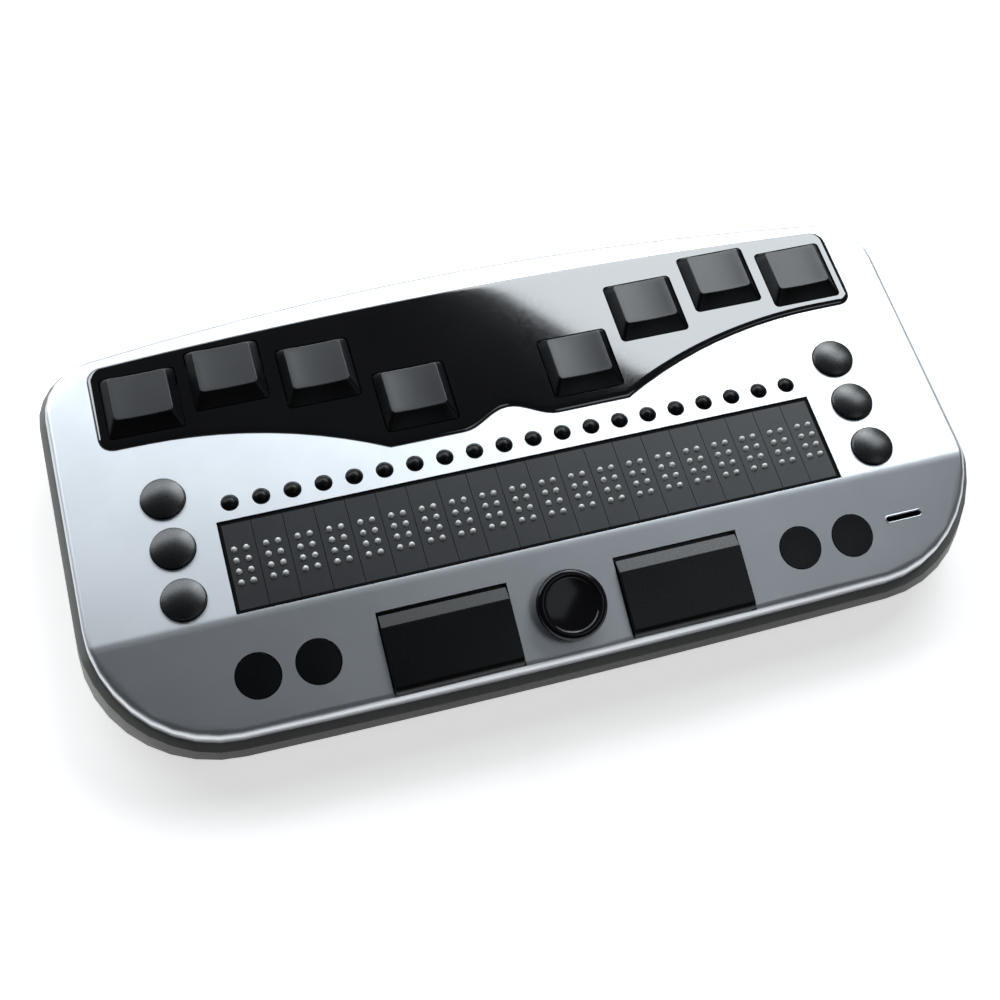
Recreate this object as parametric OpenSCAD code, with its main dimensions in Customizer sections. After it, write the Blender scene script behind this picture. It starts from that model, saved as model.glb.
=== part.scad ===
// Portable braille display with a row of cells, a braille keyboard and a joystick.
// Origin: on the table, under the middle of the case. +X right, +Y to the rear, +Z up.
// Places on the flat top are measured back from the ridge where the front slope begins,
// and places on the slope are measured down from that ridge.

/* [Case] */
// Width of the case
body_w = 187.4; // [184:0.2:210]
// Depth of the case at its middle
body_d = 92.6; // [84:0.2:108]
// Height of the flat top above the table
top_h = 21; // [18.5:0.5:27]
// Depth of the sloping front, seen from above
slope_run = 22.1; // [21.6:0.1:27]
// Angle of the sloping front
slope_angle = 15.6; // [10:0.2:16.6]
// Corner radius at the front
front_corner_r = 26; // [18:1:30]
// Corner radius at the rear
rear_corner_r = 12; // [9:1:16]
// Radius of the bowed front edge
front_bow_r = 3400; // [1000:100:4000]
// Radius of the bowed rear edge
rear_bow_r = 620; // [500:20:2000]
// Wall of the top cover
cover_wall = 2; // [1.8:0.1:2.4]
// Height of the cover's rim
rim_h = 3.2; // [3.2:0.1:4.5]
// Rounding of the cover's top edge
edge_r = 1.4; // [0.8:0.1:1.8]
// Rounding of the ridge between the flat top and the slope
ridge_r = 8; // [4:0.5:10]
// Shadow gap between the cover and the base
reveal = 0.5; // [0.3:0.1:1]
// Lip of the base that stands inside the cover
lip_t = 1; // [0.8:0.1:1.4]
// Height of that lip above the cover's rim
lip_h = 1.1; // [0.6:0.1:1.2]
// Gap between the lip and the cover
lip_gap = 0.15; // [0.1:0.05:0.3]
// Floor of the base
floor_t = 1.8; // [1.5:0.1:2.2]
// Rounding of the base's lower edge
base_edge_r = 3.5; // [2:0.5:5]
// How far the base draws in towards its foot
base_draft = 1.7; // [0:0.1:2]
// How far the base stands out beyond the cover at its rim
ledge = 1.6; // [0:0.1:2.5]
// How far the base stands out beyond the cover at its widest
belly = 2.5; // [0.5:0.1:4]
// Distance of its widest place below the front rim of the base
belly_drop = 1.8; // [0.5:0.1:2]

/* [Feet and screws] */
// Height of the feet below the base
foot_h = 1; // [0.6:0.1:2]
// Diameter of a foot
foot_d = 10; // [7:0.5:12]
// Depth of a foot's seat in the base
foot_seat = 0.8; // [0.5:0.1:1]
// Distance of the rear feet from the case's middle
rear_foot_x = 74; // [50:1:76]
// Distance of the rear feet behind the case's middle
rear_foot_y = 30; // [20:1:31]
// Distance of the front feet from the case's middle
front_foot_x = 64; // [56:1:66]
// Distance of the front feet in front of the case's middle
front_foot_y = 33; // [25:1:34]
// Distance of the side screws from the case's sides
screw_margin = 7; // [6.5:0.1:7.5]
// Distance of the rear side screws behind the ridge
screw_rear = 48; // [44:1:54]
// Distance of the middle side screws behind the ridge
screw_mid = 13; // [8:1:20]
// Distance of the front screws from the case's middle
front_screw_x = 42.2; // [42:0.1:42.4]
// Distance of the front screws from the case's front edge
front_screw_y = 7.3; // [7:0.1:9]
// Diameter of a screw's shank hole
screw_d = 2.4; // [2:0.1:2.6]
// Diameter of a screw's pilot hole
pilot_d = 1.8; // [1.4:0.1:2]
// Diameter of a screw's head seat
head_d = 4.6; // [4:0.1:5]
// Depth of a screw's head seat
head_h = 2.2; // [1.5:0.1:3]
// Diameter of the screw posts
post_d = 5.6; // [5:0.1:6]

/* [Braille cells] */
// Number of cells
cells = 20; // [12:1:20]
// Distance from cell to cell
cell_pitch = 6.42; // [6.2:0.01:6.42]
// Gap between two cells
cell_gap = 0.12; // [0.08:0.01:0.3]
// Distance of the caps behind the ridge
cap_margin = 1; // [0.9:0.1:2]
// Depth of a cell's cap
cap_d = 19.8; // [16:0.2:20]
// Thickness of a cell's cap
cap_t = 2.2; // [1.6:0.1:3]
// How far the caps lie below the flat top
cap_recess = 0.3; // [0:0.1:0.6]
// Gap between the caps and their window
window_gap = 0.35; // [0.2:0.05:0.5]
// Distance from dot to dot
dot_pitch = 2.45; // [2.3:0.05:2.5]
// Diameter of a dot's pin
dot_d = 1.3; // [1:0.05:1.5]
// Height of a raised dot, which is also its travel
dot_rise = 0.7; // [0.5:0.05:0.9]
// Length of a pin inside its module
pin_hold = 3; // [2:0.1:4]
// Gap around a pin
pin_gap = 0.08; // [0.05:0.01:0.1]
// Room between the modules' levers and the rear wall
lever_margin = 8.5; // [6.5:0.1:14]

/* [Round keys] */
// Diameter of a routing key
routing_d = 3.3; // [2.8:0.1:3.8]
// Height of a routing key above the cover
routing_rise = 0.9; // [0.5:0.1:1.4]
// Distance of the routing keys behind the caps
routing_margin = 4.1; // [3.8:0.1:5]
// Travel of a routing key
routing_travel = 0.5; // [0.3:0.1:0.8]
// Diameter of a display key
display_d = 8.8; // [7:0.1:9.4]
// Height of a display key above the cover
display_rise = 1.5; // [1:0.1:2]
// Distance of the display keys from the caps
display_side = 5.2; // [4:0.1:6.4]
// Distance of the first display key behind the ridge
display_margin = 1.7; // [1.2:0.1:2.5]
// Distance between two display keys
display_web = 2.55; // [2.1:0.05:3.2]
// Diameter of a front key
front_d = 8.8; // [7:0.1:9.4]
// Height of a front key above the slope
front_rise = 0.2; // [0.1:0.1:1]
// Distance of the pair of front keys from the case's middle
front_x = 57; // [56:0.1:58]
// Distance between the two front keys of a pair
front_pitch = 11.9; // [11.4:0.1:13]
// Distance of the front keys down the slope
front_s = 11.9; // [9:0.1:12.5]
// Travel of display keys, front keys and space bars
press_travel = 0.8; // [0.4:0.1:1]
// Gap around a round key
round_gap = 0.2; // [0.15:0.05:0.3]

/* [Braille keys] */
// Width of a braille key's top
key_top_w = 12.2; // [9:0.1:13]
// Depth of a braille key's top
key_top_d = 10.4; // [7:0.1:10.5]
// Width of a braille key at the panel
key_base_w = 15.4; // [13.5:0.1:15.6]
// Depth of a braille key at the panel
key_base_d = 12.2; // [11:0.1:12.4]
// How much further a braille key's base reaches in front than behind
key_apron = 2.2; // [0:0.1:2.4]
// Corner radius of a braille key
key_corner = 0.8; // [0.8:0.1:2]
// Rounding of a braille key's upper edge
key_edge = 0.5; // [0.2:0.1:0.7]
// Height of a braille key above the panel
key_rise = 1.8; // [1.6:0.1:2.6]
// Depth of the dish in a braille key's top
key_dish = 0.35; // [0.1:0.05:0.6]
// Travel of a braille key
key_travel = 1.4; // [0.8:0.1:1.6]
// Gap around a braille key
key_gap = 0.25; // [0.15:0.05:0.4]
// Distance of the innermost braille keys from the case's middle
key_a_x = 18.4; // [17.6:0.1:19]
// Distance of the innermost braille keys behind the panel's front edge
key_front = 5.5; // [4.5:0.1:6]
// Distance of the second braille keys from the case's middle
key_b_x = 37; // [36.6:0.1:37.6]
// How far the second braille keys lie before the third
key_b_step = 3.7; // [2:0.1:4.5]
// Distance of the third braille keys from the case's middle
key_c_x = 55.8; // [55.2:0.1:56.2]
// Distance of the third braille keys from the panel's rear edge
key_rear = 3.5; // [3.2:0.1:4.5]
// Distance of the outermost braille keys from the case's middle
key_d_x = 73.9; // [73.6:0.1:74.2]
// How far the outermost braille keys lie before the third
key_d_step = 2.7; // [2:0.1:3.5]

/* [Key panel] */
// Distance of the panel's sides from the outermost braille keys
panel_side = 2.4; // [1.6:0.1:3.4]
// Height of the panel above the cover
panel_rise = 0.6; // [0.2:0.1:1]
// Depth of the panel's pocket in the cover
panel_seat = 1.2; // [0.8:0.1:1.3]
// Chamfer along the panel's edge
panel_edge = 0.45; // [0.2:0.05:0.5]
// Gap around the panel
panel_gap = 0.1; // [0.05:0.05:0.2]
// Distance of the panel's rear edge from the case's rear edge
panel_margin = 5.5; // [4.5:0.1:6]
// Radius of the panel's bowed rear edge
panel_bow_r = 1200; // [800:50:3000]
// Distance of the panel's middle front edge behind the routing keys
panel_web = 4.9; // [4:0.1:6]
// Place of the panel's outer front edges between the display keys and the outermost braille keys
shoulder_share = 0.66; // [0.4:0.01:0.8]
// Distance from the middle at which the shoulder's curve begins
shoulder_x = 75; // [70:0.5:78]
// Distance of the start of the shoulder's curve from the innermost braille keys
shoulder_start = 0.2; // [0.2:0.1:4]
// Corner radius of the panel
panel_corner = 3; // [2:0.1:5]
// Width of the arch in the panel's front edge
arch_w = 20.8; // [12:0.1:24]
// Height of the arch in the panel's front edge
arch_h = 3.8; // [1:0.1:5]

/* [Space bars, joystick and slit] */
// Width of a space bar
bar_w = 26.4; // [20:0.2:27]
// Distance of a space bar's middle from the case's middle
bar_x = 24.8; // [23:0.1:25]
// Distance of a space bar's upper edge down the slope
bar_s = 5.9; // [5:0.1:6.5]
// Gap behind a space bar's upper edge
bar_rear_gap = 0.8; // [0.3:0.1:1]
// Distance of a space bar's nose from the case's front edge
bar_margin = 1; // [0.9:0.1:2]
// Length of a space bar's rounded nose
bar_nose = 1.8; // [1:0.1:3]
// Height of a space bar above the slope
bar_rise = 1.4; // [0.6:0.1:2]
// Length of the bevel along a space bar's upper edge
bar_bevel = 2.7; // [1:0.1:4]
// Gap around a space bar
bar_gap = 0.3; // [0.2:0.05:0.4]
// Diameter of the joystick's cap
stick_d = 14.6; // [12:0.1:15]
// Thickness of the joystick's cap
stick_t = 2.3; // [2.2:0.1:3.5]
// Gap under the joystick's cap
stick_lift = 1.6; // [1.6:0.1:2.5]
// Depth of the dish in the joystick's cap
stick_dish = 0.8; // [0.3:0.1:1.2]
// Distance of the joystick down the slope
stick_s = 12.7; // [11:0.1:13]
// Travel of the joystick when pressed
stick_travel = 0.3; // [0.2:0.1:0.4]
// Width of the slit
slit_w = 8; // [4:0.1:9]
// Height of the slit
slit_h = 1.1; // [0.6:0.1:1.6]
// Distance of the slit from the case's middle
slit_x = 75.4; // [73:0.1:77]
// Distance of the slit down the slope
slit_s = 10.4; // [6:0.1:11]

/* [Inside] */
// Distance of the board's underside below the flat top
board_drop = 13; // [12.8:0.1:13.6]
// Thickness of the board
board_t = 1.6; // [1:0.1:1.8]
// Gap between the board and what it passes
board_gap = 0.6; // [0.3:0.1:1]
// Height of a key switch
switch_h = 3.4; // [2:0.1:3.6]
// Width of a key switch
switch_w = 6; // [5:0.1:6.4]
// Width of a routing key's switch
small_switch_w = 4.5; // [3:0.1:5]
// Width of the battery
battery_w = 74; // [40:1:78]
// Depth of the battery
battery_d = 17; // [10:0.5:18]
// Width of the socket
socket_w = 7.6; // [7:0.1:9]
// Height of the socket
socket_h = 2.9; // [2.5:0.1:3.2]
// Length of the socket
socket_l = 7.6; // [7:0.1:9]
// Wall of the socket
socket_wall = 0.35; // [0.25:0.05:0.5]

/* [Hidden] */
$fn = 64;
// Clearances that are the same everywhere
seat_gap = 0.1;
press_gap = 0.15;
cut = 1;
flange_t = 0.8;
flange_w = 0.9;
dome_steps = 4;

// Case
ridge_y = slope_run - body_d / 2;
slope_z_loss = tan(slope_angle);
rear_bow_y = body_d / 2 - rear_bow_r;
front_bow_y = front_bow_r - body_d / 2;
rear_corner_x = body_w / 2 - rear_corner_r;
front_corner_x = body_w / 2 - front_corner_r;
rear_corner_y = rear_bow_y + leg(rear_bow_r - rear_corner_r, rear_corner_x);
front_corner_y = front_bow_y - leg(front_bow_r - front_corner_r, front_corner_x);
rear_turn = atan2(rear_corner_y - rear_bow_y, rear_corner_x);
front_turn = atan2(front_bow_y - front_corner_y, front_corner_x);
edge_steps = 3;
ridge_steps = 4;
ridge_t = ridge_r * tan(slope_angle / 2);
ridge_ys = [for (i = [0:ridge_steps]) ridge_y + ridge_t - ridge_r * sin(slope_angle * i / ridge_steps)];
lip_inset = cover_wall + lip_gap;
base_wall = lip_inset + lip_t;
belly_z = surface_z(-body_d / 2) - rim_h - reveal - belly_drop;
floor_z = foot_h + floor_t;
far = body_w + body_d;

// Boards, switches and screws
board_z = top_h - board_drop;
board_top = board_z + board_t;
switch_top = board_top + switch_h;
screw_places = [
    for (side = [-1, 1])
        each [
            [side * (body_w / 2 - screw_margin), ridge_y + screw_rear],
            [side * (body_w / 2 - screw_margin), ridge_y + screw_mid],
            [side * front_screw_x, front_screw_y - body_d / 2]
        ]
];
foot_places = [
    for (side = [-1, 1])
        each [[side * rear_foot_x, rear_foot_y], [side * front_foot_x, -front_foot_y]]
];

// Cells
strip_w = cells * cell_pitch - cell_gap;
strip_y = ridge_y + cap_margin + cap_d / 2;
cap_top = top_h - cap_recess;
cap_bottom = cap_top - cap_t;
cell_w = cell_pitch - cell_gap;
pin_bottom = cap_bottom - pin_hold;
dot_rows = [0, 1, 2, 0, 1, 2, 3, 3];
dot_columns = [-1, -1, -1, 1, 1, 1, -1, 1];
lever_slots = 3;
lever_slot_h = 0.5;
lever_end = 4;
lever_l = body_d / 2 - base_wall - lever_margin - strip_y - cap_d / 2;

// Keys
panel_top = top_h + panel_rise;
panel_bottom = top_h - panel_seat;
cover_under = top_h - cover_wall;
stem_d = 3;
key_stem_d = 5;
key_base = [key_base_w, key_base_d + key_apron];
key_forward = [0, -key_apron / 2];
routing_row = cap_margin + cap_d + routing_margin;
display_x = strip_w / 2 + display_side + display_d / 2;
display_pitch = display_d + display_web;
display_row = display_margin + display_d / 2 + display_pitch;
panel_w = 2 * (key_d_x + key_base_w / 2 + panel_side);
panel_front = routing_row + panel_web;
panel_rear = body_d - slope_run - panel_margin;
key_a_row = panel_front + key_front + key_base_d / 2;
key_c_row = panel_rear - key_rear - key_base_d / 2;
key_b_row = key_c_row - key_b_step;
key_d_row = key_c_row - key_d_step;
display_rear = display_row + display_pitch + display_d / 2;
panel_shoulder = display_rear + (key_d_row - key_base_d / 2 - display_rear) * shoulder_share;
shoulder_run = shoulder_x - key_a_x - key_base_w / 2 - shoulder_start;
shoulder_drop = panel_shoulder - panel_front;
shoulder_r = (shoulder_run * shoulder_run + shoulder_drop * shoulder_drop) / (2 * shoulder_drop);
key_places = [[key_a_x, key_a_row], [key_b_x, key_b_row], [key_c_x, key_c_row], [key_d_x, key_d_row]];
key_count = 2 * len(key_places);
panel_bow_y = panel_rear - panel_bow_r;
panel_corner_x = panel_w / 2 - panel_corner;
panel_corner_v = panel_bow_y + leg(panel_bow_r - panel_corner, panel_corner_x);
panel_turn = atan2(panel_corner_v - panel_bow_y, panel_corner_x);

// Space bars, measured along the slope's normal from the slope's face
bar_under = -cover_wall - seat_gap - flange_t;
nose_foot = -0.1;
nose_under = -0.7;
nose_sill = nose_under - press_travel - bar_gap;
bar_front = slope_run / cos(slope_angle) - bar_margin;
bar_face = bar_front - bar_nose;
bar_body = (slope_run - base_wall - bar_gap) / cos(slope_angle);
bar_opening = (slope_run - cover_wall - nose_sill * sin(slope_angle)) / cos(slope_angle);
bar_stem = (bar_s + bar_face) / 2;

// Joystick, measured along the slope's normal from the slope's face
stick_pivot = -cover_wall - 1.8;
stick_pin_d = 1;
stick_fit = 0.05;
ring_t = 1.6;
ring_r = 3.7;
ring_bore = 2.5;
ear_t = 1.3;
ear_w = 2.6;
ear_gap = 0.2;
ear_top = stick_pivot + 1;
plunger_r = ring_r + ear_gap + ear_t + 0.3;
plunger_top = stick_pivot - ring_t / 2 - 0.8;
plunger_t = 0.7;
plunger_gap = 0.2;
guide_wall = 1;
guide_bottom = plunger_top - 0.4;
neck_d = 2.8;
stick_hole_d = 9;
stick_switch_h = 0.8;
stick_rim = 1;

function routing_name(i) = str("routing_key_", i < 10 ? "0" : "", i);

// The other short side of a right triangle
function leg(long_side, short_side) = sqrt(long_side * long_side - short_side * short_side);

// Points along an arc; last = 0 leaves out its end, where the next arc begins
function arc(x, y, r, from, to, steps, last = 1) = [
    for (i = [0:steps - 1 + last])
        let (a = from + (to - from) * i / steps)
            [x + r * cos(a), y + r * sin(a)]
];

// The case seen from above, drawn in by inset or grown where that is negative
function body_outline(inset) = concat(
    arc(front_corner_x, front_corner_y, front_corner_r - inset, -front_turn, 0, 9),
    arc(rear_corner_x, rear_corner_y, rear_corner_r - inset, 0, rear_turn, 6, 0),
    arc(0, rear_bow_y, rear_bow_r - inset, rear_turn, 180 - rear_turn, 10, 0),
    arc(-rear_corner_x, rear_corner_y, rear_corner_r - inset, 180 - rear_turn, 180, 6),
    arc(-front_corner_x, front_corner_y, front_corner_r - inset, 180, 180 + front_turn, 9, 0),
    arc(0, front_bow_y, front_bow_r - inset, 180 + front_turn, 360 - front_turn, 8, 0)
);

// Half the case's width at a place before its rear corners
function side_x(y, inset) =
    y > front_corner_y
        ? body_w / 2 - inset
        : front_corner_x + leg(front_corner_r - inset, front_corner_y - y);

// Height of the top: flat behind the ridge, rolling over it and falling in front of it
function surface_z(y) =
    let (forward = ridge_y + ridge_t - y)
        forward <= 0
            ? top_h
            : forward < ridge_r * sin(slope_angle)
                ? top_h - ridge_r + leg(ridge_r, forward)
                : top_h - (ridge_y - y) * slope_z_loss;

// The outline and its crossings with the ridge, laid under the top, drop below it
function ring(inset, drop) =
    let (crossings = [for (side = [-1, 1], y = ridge_ys) [side * side_x(y, inset), y]])
        [for (p = concat(body_outline(inset), crossings)) [p.x, p.y, surface_z(p.y) - drop]];

// The outline at one height
function level_ring(inset, z) = [for (p = body_outline(inset)) [p.x, p.y, z]];

// A rounded rectangle about the origin
function rounded(size, r) = concat(
    arc(size.x / 2 - r, size.y / 2 - r, r, 0, 90, 4),
    arc(r - size.x / 2, size.y / 2 - r, r, 90, 180, 4),
    arc(r - size.x / 2, r - size.y / 2, r, 180, 270, 4),
    arc(size.x / 2 - r, r - size.y / 2, r, 270, 360, 4)
);

function at_height(points, z) = [for (p = points) [p.x, p.y, z]];

// Right half of the panel from its front middle to its rear middle, grown by gap
function panel_half(gap) =
    let (
        knee = asin((panel_front - panel_shoulder + shoulder_r - gap) / (shoulder_r - gap)),
        arch = [
            for (i = [0:8])
                [arch_w / 2 * i / 8, panel_front - gap + arch_h * (1 + cos(180 * i / 8)) / 2]
        ]
    )
    concat(
        arch,
        arc(shoulder_x, panel_shoulder - shoulder_r, shoulder_r - gap, 180 - knee, 90, 10),
        arc(panel_corner_x, panel_shoulder + panel_corner, panel_corner + gap, -90, 0, 4),
        arc(panel_corner_x, panel_corner_v, panel_corner + gap, 0, panel_turn, 4, 0),
        arc(0, panel_bow_y, panel_bow_r + gap, panel_turn, 90, 6)
    );

// The whole panel, grown by gap
function panel_outline(gap) =
    let (half = panel_half(gap))
        concat(half, [for (i = [len(half) - 2:-1:1]) [-half[i].x, half[i].y]]);

// Place, height and depth of a point on the slope
function slope_y(s) = ridge_y - s * cos(slope_angle);
function slope_z(s) = top_h - s * sin(slope_angle);
function switch_reach(s) = (slope_z(s) - switch_top) / cos(slope_angle);
function switch_y(s) = slope_y(s) + switch_reach(s) * sin(slope_angle);
function tilted_stem(s) =
    press_travel + press_gap + stem_d / 2 * tan(slope_angle) - switch_reach(s);

function key_place(i) =
    i <= key_count / 2
        ? let (p = key_places[key_count / 2 - i]) [-p.x, ridge_y + p.y]
        : let (p = key_places[i - key_count / 2 - 1]) [p.x, ridge_y + p.y];
function routing_x(i) = (i - (cells + 1) / 2) * cell_pitch;
function display_y(i) = ridge_y + display_row + (2 - i) * display_pitch;
function front_key_x(i) = (i < 3 ? -1 : 1) * front_x + (i % 2 == 1 ? -1 : 1) * front_pitch / 2;
function dot_x(i) = dot_columns[i - 1] * dot_pitch / 2;
function dot_y(i) = strip_y + (1.5 - dot_rows[i - 1]) * dot_pitch;

// Shared shapes

// The convex solid around a list of points
module hull_points(points) {
    hull()
        polyhedron(points, [[for (i = [0:len(points) - 1]) i]]);
}

// A closed band with the given edges, each a loop of equally many points, named from the outer low one up
module band(loops) {
    count = len(loops[0]);
    edges = len(loops);
    polyhedron(
        [for (l = loops) each l],
        [
            for (k = [0:edges - 1], i = [0:count - 1])
                let (j = (i + 1) % count, low = k * count, high = (k + 1) % edges * count)
                    each [[low + i, high + i, high + j], [low + i, high + j, low + j]]
        ]
    );
}

// A block from z = from to z = to with a rounded outline
module rounded_block(size, r, from, to) {
    translate([0, 0, from])
        linear_extrude(to - from)
            polygon(rounded(size, r));
}

// A round bar from z = from to z = to
module rod(d, from, to) {
    translate([0, 0, from])
        cylinder(d = d, h = to - from);
}

// A round bar with a shallow dome of the given height on top
module domed_rod(d, dome, from, to) {
    dome_r = (d * d / 4 + dome * dome) / (2 * dome);
    rotate_extrude()
        polygon(concat(
            [[0, from], [d / 2, from]],
            arc(0, to - dome_r, dome_r, asin((dome_r - dome) / dome_r), 90, dome_steps)
        ));
}

// Moves to a point on the slope, with Z along the slope's normal
module on_slope(x, s) {
    translate([x, ridge_y, top_h])
        rotate([slope_angle, 0, 0])
            translate([0, -s, 0])
                children();
}

// A profile of [y, z] points drawn across X
module across(points, width) {
    rotate([90, 0, 90])
        linear_extrude(width, center = true)
            polygon(points);
}

// Everything lower than drop below the top
module below_surface(drop) {
    across(
        concat(
            [[-far, -far], [-far, surface_z(-far) - drop]],
            [for (i = [ridge_steps:-1:0]) [ridge_ys[i], surface_z(ridge_ys[i]) - drop]],
            [[far, top_h - drop], [far, -far]]
        ),
        far
    );
}

// The room a space bar takes: an opening through the slope, and a pocket for its nose above the front wall
module bar_room(side) {
    room_w = bar_w + 2 * bar_gap;
    room_rear = bar_s - bar_rear_gap;
    nose_front = bar_front + bar_gap;
    on_slope(side * bar_x, 0) {
        translate([-room_w / 2, -bar_opening, -far])
            cube([room_w, bar_opening - room_rear, far + cut]);
        translate([-room_w / 2, -nose_front, nose_sill])
            cube([room_w, nose_front - room_rear, cut - nose_sill]);
    }
}

// Shells

module top_cover() {
    color("gainsboro")
        difference() {
            union() {
                difference() {
                    cover_skin();
                    cover_hollow();
                    below_surface(rim_h);
                }
                for (p = screw_places)
                    translate(p)
                        rod(post_d, board_top, surface_z(p.y) - cover_wall / 2);
                on_slope(0, stick_s)
                    rod(2 * (plunger_r + plunger_gap + guide_wall), guide_bottom, -cover_wall / 2);
            }
            translate([0, ridge_y, panel_bottom])
                linear_extrude(panel_seat + cut)
                    polygon(panel_outline(panel_gap));
            for (i = [1:key_count])
                translate(key_place(i))
                    key_opening(cover_under - cut, top_h);
            translate([0, strip_y, top_h])
                cube([strip_w + 2 * window_gap, cap_d + 2 * window_gap, 3 * cover_wall], center = true);
            round_key_holes();
            for (side = [-1, 1])
                bar_room(side);
            on_slope(0, stick_s) {
                rod(2 * (plunger_r + plunger_gap), guide_bottom - cut, -cover_wall);
                rod(stick_hole_d, -cover_wall - cut, cut);
            }
            on_slope(slit_x, slit_s)
                rounded_block([slit_w, slit_h], slit_h / 2, -2 * cover_wall, cut);
            for (p = screw_places)
                translate(p)
                    rod(pilot_d, board_top - cut, surface_z(p.y) - 2 * cover_wall);
        }
}

// Outer form of the cover, with its top edge rolled
module cover_skin() {
    hull_points(
        concat(
            level_ring(0, 0),
            [
                for (i = [0:edge_steps])
                    let (a = 90 * i / edge_steps)
                        each ring(edge_r * (1 - cos(a)), edge_r * (1 - sin(a)))
            ]
        )
    );
}

module cover_hollow() {
    hull_points(concat(level_ring(cover_wall, -cut), ring(cover_wall, cover_wall)));
}

// Holes for the routing, display and front keys
module round_key_holes() {
    for (i = [1:cells])
        translate([routing_x(i), ridge_y + routing_row])
            rod(routing_d + 2 * round_gap, cover_under - cut, top_h + cut);
    for (side = [-1, 1], i = [1:3])
        translate([side * display_x, display_y(i)])
            rod(display_d + 2 * round_gap, cover_under - cut, top_h + cut);
    for (i = [1:4])
        on_slope(front_key_x(i), front_s)
            rod(front_d + 2 * round_gap, -cover_wall - cut, cut);
}

module key_opening(from, to) {
    translate(key_forward)
        rounded_block([key_base.x + 2 * key_gap, key_base.y + 2 * key_gap], key_corner + key_gap, from, to);
}

module bottom_cover() {
    color("dimgray")
        difference() {
            union() {
                difference() {
                    union() {
                        base_skin();
                        base_lip();
                    }
                    base_hollow();
                }
                for (p = screw_places)
                    translate(p)
                        rod(post_d, floor_z - floor_t / 2, board_z);
            }
            for (p = screw_places)
                translate(p) {
                    rod(screw_d, foot_h - cut, board_z + cut);
                    rod(head_d, foot_h - cut, foot_h + head_h);
                }
            for (p = foot_places)
                translate(p)
                    rod(foot_d + 2 * seat_gap, foot_h - cut, foot_h + foot_seat);
            translate([0, body_d / 2, board_top + socket_h / 2])
                rotate([90, 0, 0])
                    rounded_block(
                        [socket_w + 2 * round_gap, socket_h + 2 * round_gap],
                        socket_h / 3,
                        -belly - cut,
                        3 * base_wall
                    );
        }
}

// Outer form of the base: a ledge at the rim, a belly below it and a rolled lower edge
module base_skin() {
    hull_points(
        concat(
            ring(-ledge, rim_h + reveal),
            level_ring(-belly, belly_z),
            [
                for (i = [0:edge_steps])
                    let (a = 90 * i / edge_steps, inset = base_draft - belly + base_edge_r * (1 - cos(a)))
                        each level_ring(inset, foot_h + base_edge_r * (1 - sin(a)))
            ]
        )
    );
}

module base_lip() {
    hull_points(concat(ring(lip_inset, rim_h - lip_h), level_ring(lip_inset, board_z)));
}

module base_hollow() {
    hull_points(concat(ring(base_wall, rim_h - lip_h - cut), level_ring(base_wall, floor_z)));
}

module rubber_feet() {
    foot_chamfer = foot_h / 3;
    foot_top = foot_h + foot_seat;
    color("black")
        for (p = foot_places)
            translate(p)
                rotate_extrude()
                    polygon([
                        [0, 0],
                        [foot_d / 2 - foot_chamfer, 0],
                        [foot_d / 2, foot_chamfer],
                        [foot_d / 2, foot_top],
                        [0, foot_top]
                    ]);
}

// Key panel and braille keys

// A plate with a chamfered edge and an opening for each key
module key_panel() {
    color("black")
        difference() {
            translate([0, ridge_y, panel_bottom])
                linear_extrude(panel_top - panel_bottom)
                    polygon(panel_outline(0));
            translate([0, ridge_y, panel_top])
                band([
                    at_height(panel_outline(panel_gap), -panel_edge - panel_gap),
                    at_height(panel_outline(panel_gap), panel_gap),
                    at_height(panel_outline(-panel_edge - panel_gap), panel_gap)
                ]);
            for (i = [1:key_count])
                translate(key_place(i))
                    key_opening(panel_bottom - cut, panel_top + cut);
        }
}

// Tapered cap with a dished top, a flange under the cover and a stem above the switch
module braille_key(i) {
    key_face = panel_top + key_rise;
    flange_top = cover_under - seat_gap;
    key_slant = atan2(key_base_w - key_top_w, 2 * key_rise);
    dish_r = (key_top_w * key_top_w / 4 + key_dish * key_dish) / (2 * key_dish);
    color("darkslategray")
        translate(key_place(i))
            difference() {
                union() {
                    hull_points(
                        concat(
                            at_height([for (p = rounded(key_base, key_corner)) p + key_forward], panel_top),
                            [
                                for (i = [0:edge_steps])
                                    let (
                                        a = key_slant + (90 - key_slant) * i / edge_steps,
                                        inset = key_edge * (cos(key_slant) - cos(a)),
                                        top = [key_top_w - 2 * inset, key_top_d - 2 * inset]
                                    )
                                        each at_height(
                                            rounded(top, key_corner - inset),
                                            key_face - key_edge * (1 - sin(a))
                                        )
                            ]
                        )
                    );
                    translate(key_forward) {
                        rounded_block(key_base, key_corner, flange_top - flange_t, panel_top);
                        rounded_block(
                            [key_base.x + 2 * flange_w, key_base.y + 2 * flange_w],
                            key_corner,
                            flange_top - flange_t,
                            flange_top
                        );
                    }
                    rod(key_stem_d, switch_top + key_travel + press_gap, flange_top - flange_t / 2);
                }
                translate([0, 0, key_face - key_dish + dish_r])
                    rotate([90, 0, 0])
                        cylinder(r = dish_r, h = 2 * key_top_d, center = true, $fn = 200);
            }
}

// Braille cells

module cell_caps() {
    color("darkslategray")
        for (c = [1:cells])
            translate([routing_x(c), 0])
                difference() {
                    translate([-cell_w / 2, strip_y - cap_d / 2, cap_bottom])
                        cube([cell_w, cap_d, cap_t]);
                    for (i = [1:8])
                        translate([dot_x(i), dot_y(i)])
                            rod(dot_d + 2 * pin_gap, cap_bottom - cut, cap_top + cut);
                }
}

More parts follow.
